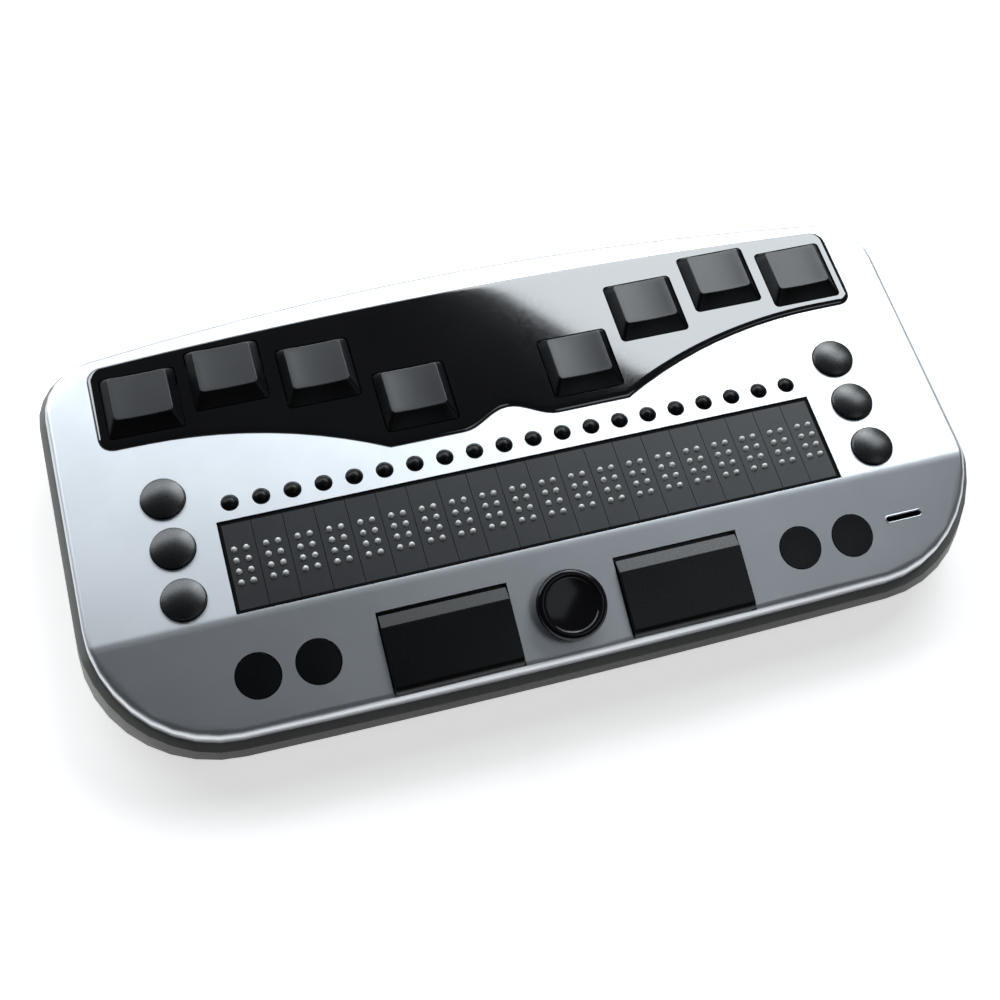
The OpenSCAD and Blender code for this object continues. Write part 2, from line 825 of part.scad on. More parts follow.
// Each module: a block under the cap, and behind it a carrier split into levers
module piezo_modules() {
    lever_top = board_z - board_gap;
    lever_step = (lever_top - floor_z) / (lever_slots + 1);
    block_rear = strip_y + cap_d / 2;
    color("dimgray")
        for (c = [1:cells])
            translate([routing_x(c), 0])
                difference() {
                    union() {
                        translate([-cell_w / 2, strip_y - cap_d / 2, floor_z])
                            cube([cell_w, cap_d, cap_bottom - floor_z]);
                        translate([-cell_w / 2, strip_y, floor_z])
                            cube([cell_w, cap_d / 2 + lever_l, lever_top - floor_z]);
                    }
                    for (i = [1:8])
                        translate([dot_x(i), dot_y(i)])
                            rod(dot_d + 2 * pin_gap, pin_bottom - dot_rise - seat_gap, cap_bottom + cut);
                    for (k = [1:lever_slots])
                        translate([-cell_w, block_rear, floor_z + k * lever_step - lever_slot_h / 2])
                            cube([2 * cell_w, lever_l - lever_end, lever_slot_h]);
                }
}

// The pins of one dot number in all cells, raised
module dot_pins(i) {
    dome = dot_d / 3;
    color("white")
        for (c = [1:cells])
            translate([routing_x(c) + dot_x(i), dot_y(i)])
                domed_rod(dot_d, dome, pin_bottom, cap_top + dot_rise);
}

// Round keys

// A domed key with a flange under the face and a stem, along Z from the face at z = 0
module round_key(d, rise, dome, stem_end) {
    flange_top = -cover_wall - seat_gap;
    domed_rod(d, dome, flange_top - flange_t, rise);
    rod(d + 2 * flange_w, flange_top - flange_t, flange_top);
    rod(min(d, stem_d), stem_end, flange_top - flange_t / 2);
}

module routing_key(i) {
    color("black")
        translate([routing_x(i), ridge_y + routing_row, top_h])
            round_key(
                routing_d,
                routing_rise,
                routing_rise * 0.8,
                switch_top - top_h + routing_travel + press_gap
            );
}

module display_key(side, i) {
    color("black")
        translate([side * display_x, display_y(i), top_h])
            round_key(
                display_d,
                display_rise,
                display_rise * 0.8,
                switch_top - top_h + press_travel + press_gap
            );
}

module front_key(i) {
    color("black")
        on_slope(front_key_x(i), front_s)
            round_key(front_d, front_rise, front_rise / 2, tilted_stem(front_s));
}

// Space bars

// Bevelled upper edge, flat face, and a thin nose that rolls down over the front wall
module space_bar(side) {
    flange_rear = bar_s - bar_rear_gap - flange_w;
    color("black") {
        on_slope(side * bar_x, 0)
            across(
                concat(
                    [
                        [-bar_s, bar_under],
                        [-bar_s, bar_rise / 3],
                        [-bar_s - bar_bevel, bar_rise]
                    ],
                    [
                        for (a = [90:-15:0])
                            [-bar_face - bar_nose * cos(a), nose_foot + (bar_rise - nose_foot) * sin(a)]
                    ],
                    [[-bar_front, nose_under], [-bar_body, nose_under], [-bar_body, bar_under]]
                ),
                bar_w
            );
        on_slope(side * bar_x, 0)
            across(
                [
                    [-flange_rear, bar_under],
                    [-flange_rear, bar_under + flange_t],
                    [-bar_body, bar_under + flange_t],
                    [-bar_body, bar_under]
                ],
                bar_w + 2 * flange_w
            );
        on_slope(side * bar_x, bar_stem)
            rod(stem_d, tilted_stem(bar_stem), bar_under + flange_t / 2);
    }
}

// Joystick: a plunger that presses, a ring that tilts in it and a cap that tilts in the ring

module joystick_plunger() {
    ear_x = ring_r + ear_gap + ear_t / 2;
    color("gray")
        on_slope(0, stick_s)
            difference() {
                union() {
                    rod(2 * plunger_r, plunger_top - plunger_t, plunger_top);
                    for (side = [-1, 1])
                        translate([side * ear_x - ear_t / 2, -ear_w / 2, plunger_top - plunger_t / 2])
                            cube([ear_t, ear_w, ear_top - plunger_top + plunger_t / 2]);
                }
                translate([0, 0, stick_pivot])
                    rotate([0, 90, 0])
                        cylinder(d = stick_pin_d + 2 * stick_fit, h = 4 * plunger_r, center = true);
            }
}

module joystick_ring() {
    pin_l = 2 * (ring_r + ear_gap + ear_t);
    color("silver")
        on_slope(0, stick_s)
            translate([0, 0, stick_pivot])
                difference() {
                    union() {
                        rod(2 * ring_r, -ring_t / 2, ring_t / 2);
                        rotate([0, 90, 0])
                            cylinder(d = stick_pin_d, h = pin_l, center = true);
                    }
                    rod(2 * ring_bore, -ring_t, ring_t);
                    rotate([90, 0, 0])
                        cylinder(d = stick_pin_d + 2 * stick_fit, h = 4 * ring_r, center = true);
                }
}

module joystick_cap() {
    cap_face = stick_lift + stick_t;
    dish_d = stick_d - 2 * stick_rim;
    dish_r = (dish_d * dish_d / 4 + stick_dish * stick_dish) / (2 * stick_dish);
    color("black")
        on_slope(0, stick_s)
            difference() {
                union() {
                    rotate_extrude()
                        polygon(concat(
                            [[0, stick_lift], [stick_d / 2 - stick_rim, stick_lift]],
                            arc(stick_d / 2 - stick_rim, stick_lift + stick_rim, stick_rim, -60, 0, 3),
                            arc(stick_d / 2 - stick_rim, cap_face - stick_rim, stick_rim, 0, 90, 5),
                            [[0, cap_face]]
                        ));
                    rod(neck_d, stick_pivot - 1, stick_lift + stick_rim);
                    translate([0, 0, stick_pivot])
                        rotate([90, 0, 0])
                            cylinder(d = stick_pin_d, h = 2 * ring_r, center = true);
                }
                translate([0, 0, cap_face - stick_dish + dish_r])
                    sphere(r = dish_r);
            }
}

// Inside

module main_board() {
    window = [cells * cell_pitch + 2 * board_gap, cap_d + 2 * board_gap];
    color("darkgreen")
        difference() {
            union() {
                translate([0, 0, board_z])
                    linear_extrude(board_t)
                        polygon(body_outline(base_wall + board_gap));
                for (i = [1:key_count])
                    switch_at(key_place(i), switch_w, switch_h);
                for (i = [1:cells])
                    switch_at([routing_x(i), ridge_y + routing_row], small_switch_w, switch_h);
                for (side = [-1, 1], i = [1:3])
                    switch_at([side * display_x, display_y(i)], switch_w, switch_h);
                for (i = [1:4])
                    switch_at([front_key_x(i), switch_y(front_s)], switch_w, switch_h);
                for (side = [-1, 1])
                    switch_at([side * bar_x, switch_y(bar_stem)], switch_w, switch_h);
                switch_at([0, slope_y(stick_s) + switch_h / 2], switch_w, stick_switch_h);
            }
            translate([0, strip_y, board_z])
                cube([window.x, window.y, 3 * board_t], center = true);
            for (p = screw_places)
                translate(p)
                    rod(screw_d, board_z - cut, board_top + cut);
        }
}

// A key switch on the board
module switch_at(place, width, height) {
    translate(place)
        rounded_block([width, width], width / 10, board_top - board_t / 2, board_top + height);
}

module battery_pack() {
    battery_y = strip_y - cap_d / 2 - battery_d / 2 - board_gap;
    battery_h = board_z - floor_z - board_gap;
    color("slateblue")
        translate([0, battery_y])
            rounded_block([battery_w, battery_d], battery_h / 2, floor_z, floor_z + battery_h);
}

// A thin shell with a tongue, open to the rear
module usb_socket() {
    mouth_y = body_d / 2 + ledge - socket_wall;
    inner = [socket_w - 2 * socket_wall, socket_h - 2 * socket_wall];
    tongue = [inner.x * 0.7, inner.y / 3];
    color("silver")
        translate([0, mouth_y, board_top + socket_h / 2])
            rotate([90, 0, 0]) {
                difference() {
                    rounded_block([socket_w, socket_h], socket_h / 4, 0, socket_l);
                    rounded_block(inner, inner.y / 4, -cut, socket_l - socket_wall);
                }
                rounded_block(tongue, tongue.y / 4, socket_wall, socket_l - socket_wall / 2);
            }
}

top_cover();
bottom_cover();
key_panel();
cell_caps();
piezo_modules();
main_board();
battery_pack();
usb_socket();
rubber_feet();
for (i = [1:key_count])
    braille_key(i);
for (i = [1:cells])
    routing_key(i);
for (i = [1:3])
    display_key(-1, i);
for (i = [1:3])
    display_key(1, i);
for (i = [1:4])
    front_key(i);
space_bar(-1);  // left_space_bar
space_bar(1);  // right_space_bar
joystick_plunger();
joystick_ring();
joystick_cap();
for (i = [1:8])
    dot_pins(i);
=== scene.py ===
import math

import bmesh
import bpy
from mathutils import Matrix, Vector
from mathutils.geometry import tessellate_polygon


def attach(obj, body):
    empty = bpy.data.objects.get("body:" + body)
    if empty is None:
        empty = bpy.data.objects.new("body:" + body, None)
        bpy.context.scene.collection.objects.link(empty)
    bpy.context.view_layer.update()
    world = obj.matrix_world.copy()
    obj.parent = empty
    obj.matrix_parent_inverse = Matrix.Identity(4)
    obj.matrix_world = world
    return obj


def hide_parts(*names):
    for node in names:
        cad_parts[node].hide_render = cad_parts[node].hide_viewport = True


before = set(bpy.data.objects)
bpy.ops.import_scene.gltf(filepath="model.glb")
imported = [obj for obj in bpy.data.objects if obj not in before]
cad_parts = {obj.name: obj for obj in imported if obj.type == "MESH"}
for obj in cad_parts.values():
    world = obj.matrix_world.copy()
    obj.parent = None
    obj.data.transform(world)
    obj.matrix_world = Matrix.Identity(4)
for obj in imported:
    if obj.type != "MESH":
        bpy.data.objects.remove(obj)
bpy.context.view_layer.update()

# Looks of the braille display. Sizes are in millimetres, in the frame of the solids, and become
# metres when a mesh is made. A place v is measured to the rear from the ridge between the flat
# field and the sloping front, and a place s down the slope from that ridge.
MM = 0.001
SIDES = ((-1, "left"), (1, "right"))

# Case
BODY_D, TOP_H = 92.6, 21.0
SLOPE_RUN, SLOPE_TILT = 22.1, math.radians(15.6)
RIDGE_Y = SLOPE_RUN - BODY_D / 2
COVER_WALL = 2.0

# Lip of the slit: each pair is a distance outside the slit and a height above the slope
SLIT_W, SLIT_H, SLIT_X, SLIT_S = 8.0, 1.1, 75.4, 10.4
SLIT_LIP = ((0.36, -0.02), (0.28, 0.09), (0.16, 0.12), (0.06, 0.09), (0.0, 0.02), (0.0, -0.8))
SLIT_END_FLAT = 0.01

# Case screws: each pair of the head is a share of its radius and a height above its face
FOOT_H = 1.0
SCREW_PLACES = ((86.7, 48.0), (86.7, 13.0), (42.2, -14.8))
HEAD_D, HEAD_H, HEAD_GAP, HEAD_SINK = 4.6, 2.2, 0.2, 0.5
HEAD_R = HEAD_D / 2 - HEAD_GAP
HEAD_ROUND = ((0.55, 0.0), (0.85, 0.18), (1.0, 0.6))
SHANK_R, SHANK_L, SHANK_TIP = 0.85, 8.0, 0.8
RECESS_SIZE, RECESS_TURN = (2.4, 0.55, 1.6), 20

# Cells
CELLS, CELL_PITCH, CELL_GAP = 20, 6.42, 0.12
STRIP_W, STRIP_ROW, WINDOW_GAP = CELLS * CELL_PITCH - CELL_GAP, 10.9, 0.35
STRIP_Y = RIDGE_Y + STRIP_ROW
CAP_T, CAP_D, CAP_SINK = 2.2, 19.8, 0.3
CAP_TOP = TOP_H - CAP_SINK
# Ring of painted shade round the strip of cells: its width, its depth down the window's wall and
# its small lift
GAP_SHADE_W, GAP_SHADE_DEPTH, GAP_SHADE_STEP = 0.8, 1.0, 0.02
DOT_PITCH, DOT_D, DOT_RISE, PIN_HOLD = 2.45, 1.3, 0.7, 3.0
DOT_TIP, DOT_TIP_R = DOT_D / 3, DOT_D * 0.42
DOT_ROWS = (0, 1, 2, 0, 1, 2, 3, 3)
DOT_COLUMNS = (-1, -1, -1, 1, 1, 1, -1, 1)

# All keys
SWITCH_TOP = 13.0
SEAT_GAP, FLANGE_T, FLANGE_W, PRESS_GAP = 0.1, 0.8, 0.9, 0.15
STEM_D = 3.0
PRESS_TRAVEL = 0.8

# Round keys: each pair of the shoulder gives shares of its edge, inwards and up from the dome's rim
SHOULDER_EDGE = 0.3
KEY_SHOULDER = ((0.0, -0.5), (0.08, -0.1), (0.3, 0.15))
CROWN_INSET = 0.6
ROUTING_D, ROUTING_RISE, ROUTING_DOME = 3.3, 0.9, 0.72
ROUTING_ROW, ROUTING_TRAVEL = 24.9, 0.5
DISPLAY_D, DISPLAY_RISE, DISPLAY_DOME = 8.8, 1.5, 0.75
DISPLAY_X, DISPLAY_ROW, DISPLAY_PITCH = 73.74, 17.45, 11.35
FRONT_D, FRONT_RISE, FRONT_DOME = 8.8, 0.2, 0.1
FRONT_X, FRONT_PITCH, FRONT_S = 57.0, 11.9, 11.9

# Joystick cap
STICK_D, STICK_T, STICK_LIFT, STICK_DISH, STICK_S = 14.6, 2.3, 1.6, 0.8, 12.7
STICK_PIVOT, STICK_PIN_D, RING_R = -3.8, 1.0, 3.7
NECK_D, NECK_BELOW_PIVOT = 2.8, 1.0
DISH_RIM_ANGLE = 140

# Space bars
BAR_W, BAR_X, BAR_S, BAR_REAR_GAP, BAR_RISE, BAR_BEVEL = 26.4, 24.8, 5.9, 0.8, 1.4, 2.7
BAR_NOSE, BAR_REAR, NOSE_FOOT, NOSE_UNDER = 1.8, 0.1, -0.1, -0.7
BAR_UNDER = -COVER_WALL - SEAT_GAP - FLANGE_T
BAR_FRONT, BAR_BODY = 21.945, 19.363
BAR_FACE = BAR_FRONT - BAR_NOSE
BAR_EDGE = 0.3

# Key panel
PANEL_RISE, PANEL_SEAT = 0.6, 1.2
PANEL_TOP, PANEL_BOTTOM = TOP_H + PANEL_RISE, TOP_H - PANEL_SEAT
PANEL_W, PANEL_REAR, PANEL_BOW_R = 168.0, 65.0, 1200.0
PANEL_SHOULDER, PANEL_FRONT, SHOULDER_X, SHOULDER_R = 42.044, 29.8, 75.0, 102.97
PANEL_CORNER, ARCH_W, ARCH_H = 3.0, 20.8, 3.8
PANEL_ROLL, PANEL_REAR_ROLL = 1.6, 0.5

# Braille keys, placed as pairs of distances from the middle and behind the ridge
KEY_PLACES = ((18.4, 41.4), (37.0, 51.7), (55.8, 55.4), (73.9, 52.7))
KEY_COUNT = 2 * len(KEY_PLACES)
KEY_TOP, KEY_BASE, KEY_FORWARD, KEY_CORNER = (12.2, 10.4), (15.4, 14.4), 1.1, 0.8
KEY_RISE, KEY_DISH, KEY_ROLL, KEY_SINK = 1.8, 0.35, 0.25, 0.05
KEY_STEM_D, KEY_TRAVEL, KEY_GAP = 5.0, 1.4, 0.25
KEY_TOP_RINGS = (1.0, 0.8, 0.6, 0.4, 0.2, 0.02)

# Steps and sides of the rounded forms
EDGE_STEPS, CORNER_STEPS = 8, 5
DOME_STEPS, TIP_STEPS, BEAD_STEPS, DISH_RIM_STEPS, DISH_STEPS = 14, 8, 8, 6, 10
KEY_ROLL_STEPS, BAR_EDGE_STEPS = 4, 3
ARCH_STEPS, SHOULDER_STEPS, PANEL_CORNER_STEPS, BOW_STEPS = 16, 24, 8, 12
BUTTON_SIDES, ROUTING_SIDES, STEM_SIDES = 64, 40, 32
PIN_SIDES, KNOB_SIDES, SCREW_SIDES = 24, 96, 40
QUARTER_TURN = [math.radians(9 * k) for k in range(11)]
ON_AXIS = 1e-6

# Angles in degrees up to which edges are shaded smooth, and distances up to which seams are welded
SMOOTH_ANGLE, FLAT_ANGLE, BAR_ANGLE, LIP_ANGLE = 35, 30, 15, 60
PANEL_WELD, CAD_WELD = 0.001, 0.002


def arc(x, y, r, start, end, steps, last=1):
    """Points along an arc, angles in degrees; last=0 leaves out its end."""
    turn = (end - start) / steps
    angles = [math.radians(start + turn * i) for i in range(steps + last)]
    return [(x + r * math.cos(a), y + r * math.sin(a)) for a in angles]


def dome(half, height, top, steps):
    """Points of a dome's section, from its rim to its top on the axis."""
    r = (half * half + height * height) / (2 * height)
    rim = math.degrees(math.asin((r - height) / r))
    return arc(0, top - r, r, rim, 90, steps)


def raised(points, z):
    return [(x, y, z) for x, y in points]


def on_slope(x, s):
    """Matrix of a point on the sloping front, with Z along its normal."""
    return (
        Matrix.Translation((x, RIDGE_Y, TOP_H))
        @ Matrix.Rotation(SLOPE_TILT, 4, "X")
        @ Matrix.Translation((0, -s, 0))
    )


def level_stem(travel):
    """Height of a stem's lower end from the flat field."""
    return SWITCH_TOP - TOP_H + travel + PRESS_GAP


def tilted_stem(s):
    """Height of a stem's lower end from the slope, along its normal."""
    reach = (TOP_H - s * math.sin(SLOPE_TILT) - SWITCH_TOP) / math.cos(SLOPE_TILT)
    return PRESS_TRAVEL + PRESS_GAP + STEM_D / 2 * math.tan(SLOPE_TILT) - reach


# Materials
CLOUD_SPAN, CLOUD_SCALE, CLOUD_DETAIL = (0.35, 0.65), 60.0, 4.0
GRAIN_SPAN, GRAIN_DETAIL = (0.3, 0.7), 3.0
COAT_ROUGHNESS = 0.05


def material(name, dark, light, rough, metallic=0.0, grain=0.0, grain_scale=1500.0, ior=1.5,
             coat=0.0):
    """A procedural finish: colour drifts between dark and light, roughness between the two values
    given, and a fine grain of the given depth in millimetres lifts the surface."""
    m = bpy.data.materials.new(name)
    m.use_nodes = True
    nodes, links = m.node_tree.nodes, m.node_tree.links
    shader = nodes["Principled BSDF"]
    shader.inputs["Metallic"].default_value = metallic
    shader.inputs["IOR"].default_value = ior
    shader.inputs["Coat Weight"].default_value = coat
    shader.inputs["Coat Roughness"].default_value = COAT_ROUGHNESS
    place = nodes.new("ShaderNodeTexCoord")
    cloud = nodes.new("ShaderNodeTexNoise")
    cloud.inputs["Scale"].default_value = CLOUD_SCALE
    cloud.inputs["Detail"].default_value = CLOUD_DETAIL
    links.new(place.outputs["Object"], cloud.inputs["Vector"])
    ramp = nodes.new("ShaderNodeValToRGB")
    for element, position, color in zip(ramp.color_ramp.elements, CLOUD_SPAN, (dark, light)):
        element.position = position
        element.color = (*color, 1)
    links.new(cloud.outputs["Fac"], ramp.inputs["Fac"])
    links.new(ramp.outputs["Color"], shader.inputs["Base Color"])
    fine = nodes.new("ShaderNodeTexNoise")
    fine.inputs["Scale"].default_value = grain_scale
    fine.inputs["Detail"].default_value = GRAIN_DETAIL
    links.new(place.outputs["Object"], fine.inputs["Vector"])
    spread = nodes.new("ShaderNodeMapRange")
    spread.inputs["From Min"].default_value = GRAIN_SPAN[0]
    spread.inputs["From Max"].default_value = GRAIN_SPAN[1]
    spread.inputs["To Min"].default_value = rough[0]
    spread.inputs["To Max"].default_value = rough[1]
    links.new(fine.outputs["Fac"], spread.inputs["Value"])
    links.new(spread.outputs["Result"], shader.inputs["Roughness"])
    if grain:
        bump = nodes.new("ShaderNodeBump")
        bump.inputs["Strength"].default_value = 1.0
        bump.inputs["Distance"].default_value = grain * MM
        links.new(fine.outputs["Fac"], bump.inputs["Height"])
        links.new(bump.outputs["Normal"], shader.inputs["Normal"])
    return m


# Name, the two colours, the two roughnesses
SILVER = material(
    "silver_lacquer", (0.72, 0.745, 0.78), (0.77, 0.795, 0.83), (0.39, 0.45),
    metallic=1.0, grain=0.002, grain_scale=5000)
BASE = material(
    "base_plastic", (0.297, 0.289, 0.274), (0.32, 0.312, 0.296), (0.45, 0.6),
    grain=0.02, grain_scale=1800)
GLOSS = material(
    "panel_gloss", (0.003, 0.003, 0.0035), (0.005, 0.005, 0.0055), (0.045, 0.07),
    ior=2.0, coat=1.0)
CHARCOAL = material(
    "key_plastic", (0.016, 0.017, 0.019), (0.023, 0.024, 0.027), (0.28, 0.34),
    grain=0.004, grain_scale=2600, ior=1.55)
BUTTON = material(
    "button_plastic", (0.0035, 0.0035, 0.004), (0.006, 0.006, 0.0065), (0.26, 0.32),
    grain=0.001, grain_scale=2600, ior=1.4)
DISPLAY = material(
    "display_key_plastic", (0.0045, 0.0045, 0.0055), (0.007, 0.007, 0.008), (0.26, 0.32),
    grain=0.001, grain_scale=2600, ior=1.7)
KNOB = material(
    "knob_gloss", (0.004, 0.0038, 0.0045), (0.0065, 0.006, 0.007), (0.10, 0.16),
    grain=0.0005, grain_scale=2600, ior=1.4)
KEY_SIDE = material(
    "key_side_black", (0.0025, 0.0025, 0.003), (0.004, 0.004, 0.0045), (0.26, 0.34),
    grain=0.001, grain_scale=2600, ior=1.3)
# Black for painted shade: it stands for the shadow in the gap round the strip of cells
GAP_SHADE = material(
    "painted_gap_shade", (0.0015, 0.0015, 0.002), (0.003, 0.003, 0.0035), (0.5, 0.6),
    grain=0.004, grain_scale=2600, ior=1.15)
CELL = material(
    "cell_plastic", (0.009, 0.010, 0.0125), (0.014, 0.0155, 0.0185), (0.34, 0.44),
    grain=0.004, grain_scale=2600)
PIN = material(
    "pin_nylon", (0.90, 0.90, 0.88), (0.95, 0.95, 0.93), (0.22, 0.3),
    grain=0.001, grain_scale=4000, ior=1.8)
MODULE = material(
    "module_plastic", (0.06, 0.06, 0.065), (0.09, 0.09, 0.095), (0.5, 0.65),
    grain=0.01)
BOARD = material(
    "board_mask", (0.012, 0.075, 0.030), (0.018, 0.10, 0.042), (0.25, 0.4),
    grain=0.01, grain_scale=900)
FOIL = material(
    "battery_foil", (0.48, 0.50, 0.53), (0.58, 0.60, 0.62), (0.25, 0.4),
    metallic=0.9, grain=0.02, grain_scale=300)
STEEL = material(
    "plated_steel", (0.52, 0.52, 0.53), (0.62, 0.62, 0.63), (0.18, 0.3),
    metallic=1.0, grain=0.003, grain_scale=3000)
RUBBER = material(
    "foot_rubber", (0.018, 0.018, 0.018), (0.028, 0.028, 0.028), (0.7, 0.85),
    grain=0.02, grain_scale=1500)


# Meshes, as parts: a list of vertices and a list of faces

def revolve(profile, sides):
    """A profile of (radius, height) points turned about Z, from the lowest point on the axis to
    the highest."""
    verts, faces, rings = [], [], []
    for r, z in profile:
        if r < ON_AXIS:
            rings.append([len(verts)])
            verts.append((0, 0, z))
        else:
            rings.append(list(range(len(verts), len(verts) + sides)))
            verts += raised(arc(0, 0, r, 0, 360, sides, 0), z)
    for low, high in zip(rings, rings[1:]):
        for i in range(sides):
            j = (i + 1) % sides
            face = [low[i % len(low)], low[j % len(low)], high[j % len(high)], high[i % len(high)]]
            faces.append([v for k, v in enumerate(face) if v not in face[:k]])
    return verts, faces


def loft(rings):
    """A skin through rings of equally many points, closed at both ends."""
    count = len(rings[0])
    verts = [p for ring in rings for p in ring]
    faces = [list(range(count - 1, -1, -1))]
    for k in range(len(rings) - 1):
        low, high = k * count, (k + 1) * count
        for i in range(count):
            j = (i + 1) % count
            faces.append([low + i, low + j, high + j, high + i])
    faces.append(list(range((len(rings) - 1) * count, len(rings) * count)))
    return verts, faces


def band(rings):
    """A skin through rings, open at both ends."""
    verts, faces = loft(rings)
    return verts, faces[1:-1]


def filled(loops, z, up):
    """Flat triangles between an outline and the openings in it, facing up or down."""
    verts = [p for loop in loops for p in raised(loop, z)]
    faces = []
    for a, b, c in tessellate_polygon([[Vector(p) for p in raised(loop, 0)] for loop in loops]):
        corner = Vector(verts[a])
        normal = (Vector(verts[b]) - corner).cross(Vector(verts[c]) - corner)
        faces.append([a, b, c] if (normal.z > 0) == up else [a, c, b])
    return verts, faces


def joined(parts):
    verts, faces = [], []
    for part_verts, part_faces in parts:
        start = len(verts)
        verts += part_verts
        faces += [[i + start for i in face] for face in part_faces]
    return verts, faces


def moved(part, matrix):
    return [tuple(matrix @ Vector(v)) for v in part[0]], part[1]


def shifted(part, x, y, z=0):
    return moved(part, Matrix.Translation((x, y, z)))


def piece(name, part, body, finish, nodes=(), sharp=SMOOTH_ANGLE):
    """Makes a smooth-shaded mesh piece that rides on a body and stands for the CAD nodes named."""
    mesh = bpy.data.meshes.new(name)
    mesh.from_pydata([tuple(c * MM for c in v) for v in part[0]], [], part[1])
    mesh.validate()
    for p in mesh.polygons:
        p.use_smooth = True
    mesh.set_sharp_from_angle(angle=math.radians(sharp))
    obj = bpy.data.objects.new(name, mesh)
    bpy.context.scene.collection.objects.link(obj)
    mesh.materials.append(finish)
    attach(obj, body)
    if nodes:
        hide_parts(*nodes)
    return obj


def keep_flats_flat(obj):
    """Lets large faces set the normals at their edges, so that no rounding shades a flat."""
    flats = obj.modifiers.new("flats_stay_flat", "WEIGHTED_NORMAL")
    flats.mode = "FACE_AREA"
    flats.weight = 100
    flats.keep_sharp = True


def rounded_outline(w, d, r):
    """A rounded rectangle with points along its sides too, counter-clockwise."""
    x, y = w / 2 - r, d / 2 - r
    corners = [
        arc(corner_x, corner_y, r, start, start + 90, CORNER_STEPS)
        for corner_x, corner_y, start in ((x, y, 0), (-x, y, 90), (-x, -y, 180), (x, -y, 270))
    ]
    points = []
    for k, corner in enumerate(corners):
        points += corner
        (x0, y0), (x1, y1) = corner[-1], corners[(k + 1) % 4][0]
        for i in range(1, EDGE_STEPS):
            t = i / EDGE_STEPS
            points.append((x0 + (x1 - x0) * t, y0 + (y1 - y0) * t))
    return points


# Braille keys

def key_place(i):
    """Middle of a braille key, numbered from the left: across the case and behind the ridge."""
    half = len(KEY_PLACES)
    x, v = KEY_PLACES[half - i] if i <= half else KEY_PLACES[i - half - 1]
    return (-x if i <= half else x), v


def key_outline(grow, corner):
    """Outline of a key's base, which reaches further to the front than to the rear."""
    outline = rounded_outline(KEY_BASE[0] + 2 * grow, KEY_BASE[1] + 2 * grow, corner)
    return [(x, y - KEY_FORWARD) for x, y in outline]


def key_top(grow, lower=0.0, scale=1.0):
    """A ring of a key's top, which is dished across its width."""
    ring = []
    for x, y in rounded_outline(KEY_TOP[0] + 2 * grow, KEY_TOP[1] + 2 * grow, KEY_CORNER):
        x, y = x * scale, y * scale
        dish = KEY_DISH * max(0.0, 1 - (2 * x / KEY_TOP[0]) ** 2)
        ring.append((x, y, PANEL_TOP + KEY_RISE - dish - lower))
    return ring


def braille_key(i):
    """Stem, flange, skirt and tapered sides in satin black, then a grey rounded edge and top."""
    flange_top = TOP_H - COVER_WALL - SEAT_GAP
    flange_low = flange_top - FLANGE_T
    base = key_outline(0.0, KEY_CORNER)
    flange = key_outline(FLANGE_W, KEY_CORNER)
    stem = []
    for x, y in base:
        a = math.atan2(y, x)
        stem.append((KEY_STEM_D / 2 * math.cos(a), KEY_STEM_D / 2 * math.sin(a)))
    rings = [
        raised(stem, SWITCH_TOP + KEY_TRAVEL + PRESS_GAP),
        raised(stem, flange_low),
        raised(flange, flange_low),
        raised(flange, flange_top),
        raised(base, flange_top),
        raised(base, PANEL_TOP - KEY_SINK),
    ]
    black_faces = 1 + len(rings) * len(base)
    slant = math.degrees(math.atan2(KEY_RISE, (KEY_BASE[0] - KEY_TOP[0]) / 2))
    for k in range(KEY_ROLL_STEPS + 1):
        a = math.radians(90 - slant + slant * k / KEY_ROLL_STEPS)
        rings.append(key_top(KEY_ROLL * (math.cos(a) - 1), KEY_ROLL * (1 - math.sin(a))))
    rings += [key_top(-KEY_ROLL, scale=scale) for scale in KEY_TOP_RINGS]
    x, v = key_place(i)
    name = "braille_key_%d" % i
    part = shifted(loft(rings), x, RIDGE_Y + v)
    key = piece(name + "_cap", part, name, CHARCOAL, [name])
    key.data.materials.append(KEY_SIDE)
    for k in range(black_faces):
        key.data.polygons[k].material_index = 1


for number in range(1, KEY_COUNT + 1):
    braille_key(number)


# Round keys

def round_key(d, rise, dome_h, stem_end, sides=BUTTON_SIDES):
    """A button: stem, flange, wall, rounded shoulder and dome, with the cover's face at z = 0."""
    flange_top = -COVER_WALL - SEAT_GAP
    flange_low = flange_top - FLANGE_T
    r, flange_r, stem_r = d / 2, d / 2 + FLANGE_W, min(d, STEM_D) / 2
    edge = min(SHOULDER_EDGE, dome_h / 2)
    profile = [
        (0, stem_end),
        (stem_r, stem_end),
        (stem_r, flange_low),
        (flange_r, flange_low),
        (flange_r, flange_top),
        (r, flange_top),
    ]
    profile += [(r - edge * inward, rise - dome_h + edge * up) for inward, up in KEY_SHOULDER]
    profile += [p for p in dome(r, dome_h, rise, DOME_STEPS) if p[0] < r - edge * CROWN_INSET]
    return revolve(profile, sides)


def cell_x(i):
    return (i - (CELLS + 1) / 2) * CELL_PITCH


for number in range(1, CELLS + 1):
    stem_end = level_stem(ROUTING_TRAVEL)
    shape = round_key(ROUTING_D, ROUTING_RISE, ROUTING_DOME, stem_end, ROUTING_SIDES)
    shape = shifted(shape, cell_x(number), RIDGE_Y + ROUTING_ROW, TOP_H)
    node = "routing_key_%02d" % number
    piece(node + "_cap", shape, node, KEY_SIDE, [node])

for side, word in SIDES:
    for number in (1, 2, 3):
        shape = round_key(DISPLAY_D, DISPLAY_RISE, DISPLAY_DOME, level_stem(PRESS_TRAVEL))
        row = DISPLAY_ROW + (2 - number) * DISPLAY_PITCH
        shape = shifted(shape, side * DISPLAY_X, RIDGE_Y + row, TOP_H)
        node = "%s_key_%d" % (word, number)
        piece(node + "_cap", shape, node, DISPLAY, [node])

